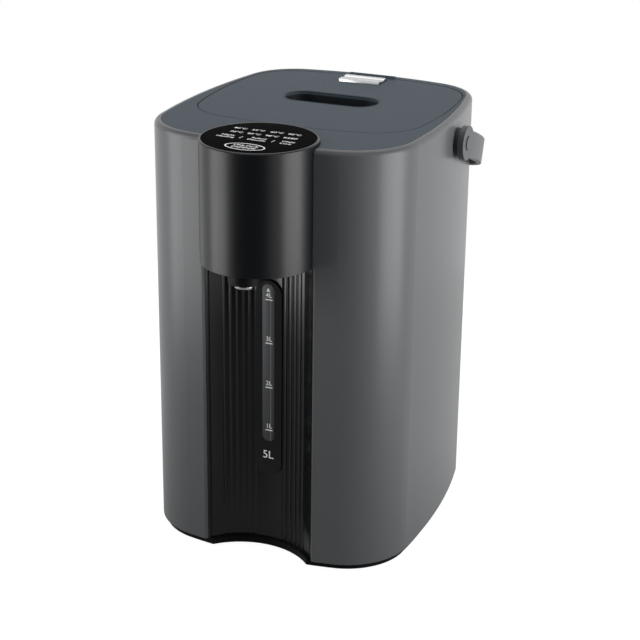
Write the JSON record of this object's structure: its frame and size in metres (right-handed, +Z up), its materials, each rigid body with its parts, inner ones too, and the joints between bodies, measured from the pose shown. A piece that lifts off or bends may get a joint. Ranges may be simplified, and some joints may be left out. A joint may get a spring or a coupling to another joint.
{
  "type": "electric thermo pot",
  "caption": "Electric hot water pot with a round touch control head and spout over a cup recess, level gauge, hinged lid, release lever and swing handle.",
  "frame": {"origin": "on the surface the pot stands on, under the middle of the whole pot's box, head and lowered handle included", "axes": "+Z up, -Y to the front where the control head and spout are, +X to the right of someone who faces the pot from behind, so to the viewer's right in a front view"},
  "size_m": [0.226, 0.2975, 0.333],
  "materials": {
    "satin_grey_paint": "satin paint, dark grey",
    "slate_plastic": "satin, blue grey",
    "head_plastic": "satin, charcoal",
    "black_gloss_plastic": "gloss",
    "black_plastic": "fine texture",
    "handle_plastic": "satin, grey",
    "black_glass": "polished, printed from behind",
    "clear_plastic": "clear",
    "polished_metal": "bright satin",
    "tank_steel": "brushed",
    "plain_steel": "plain",
    "heater_aluminium": "cast",
    "silicone": "matte, pale",
    "foot_rubber": "matte",
    "insulation": "felted",
    "inner_plastic": "moulded, off-white",
    "circuit_board": "lacquered",
    "cable_sleeve": "matte",
    "contact_brass": "bright"
  },
  "bodies": {
    "pot": {"base_plate": "black_plastic", "base_screws": "plain_steel", "board_parts": "circuit_board", "board_posts": "inner_plastic", "boil_element": "plain_steel", "control_board": "circuit_board", "control_head": "head_plastic", "delivery_tube": "silicone", "head_bottom_cover": "black_plastic", "heater_plate": "heater_aluminium", "inlet_hose": "silicone", "inlet_pins": "contact_brass", "inlet_socket": "black_plastic", "inner_tank": "tank_steel", "level_hose": "silicone", "level_panel": "black_gloss_plastic", "level_tube": "clear_plastic", "level_window": "clear_plastic", "lid_hinge_pin": "plain_steel", "outer_shell": "satin_grey_paint", "pivot_bosses": "handle_plastic", "pivot_pins": "plain_steel", "pivot_plates": "inner_plastic", "power_board": "circuit_board", "pump_housing": "inner_plastic", "pump_motor": "plain_steel", "recess_panel": "black_gloss_plastic", "rubber_feet": "foot_rubber", "signal_cable": "cable_sleeve", "spout_collar": "black_plastic", "spout_nozzle": "polished_metal", "tank_jacket": "insulation", "tank_seal": "silicone", "tank_support": "inner_plastic", "temperature_sensor": "plain_steel", "thermostats": "plain_steel", "top_frame": "slate_plastic", "touch_panel": "black_glass", "warm_element": "plain_steel"},
    "lid": {"lid_cover": "slate_plastic", "lid_liner": "inner_plastic", "lid_inner_plate": "tank_steel", "lid_gasket": "silicone", "lid_screws": "plain_steel", "finger_cup": "slate_plastic", "steam_tube": "inner_plastic", "release_pin": "plain_steel", "latch_spring": "plain_steel", "release_spring": "plain_steel"},
    "latch": {"latch_bolt": "slate_plastic"},
    "release_lever": {"hinge_release": "polished_metal"},
    "handle": {"handle_bail": "handle_plastic", "pivot_caps": "handle_plastic"},
    "pump_rotor": {"pump_impeller": "inner_plastic"}
  },
  "joints": [
    {"name": "lid_hinge", "type": "hinge", "parent": "pot", "child": "lid", "pos_m": [0, 0.1166, 0.3292], "axis": [-1, 0, 0], "range_deg": [0, 80]},
    {"name": "latch_slide", "type": "slide", "parent": "lid", "child": "latch", "axis": [0, 1, 0], "range_m": [0, 0.004], "stiffness_N_per_m": 400, "springref_m": -0.003, "deforming": ["latch_spring"]},
    {"name": "release_press", "type": "hinge", "parent": "lid", "child": "release_lever", "pos_m": [-0.002, 0.1005, 0.3275], "axis": [1, 0, 0], "range_deg": [0, 7], "stiffness_Nm_per_rad": 0.3, "springref_deg": -5.73, "deforming": ["release_spring"]},
    {"name": "handle_swing", "type": "hinge", "parent": "pot", "child": "handle", "pos_m": [0, 0.027, 0.309], "axis": [1, 0, 0], "range_deg": [0, 140]},
    {"name": "rotor_spin", "type": "hinge", "parent": "pot", "child": "pump_rotor", "pos_m": [-0.015, -0.036, 0.024], "axis": [0, 0, 1], "continuous": true}
  ]
}
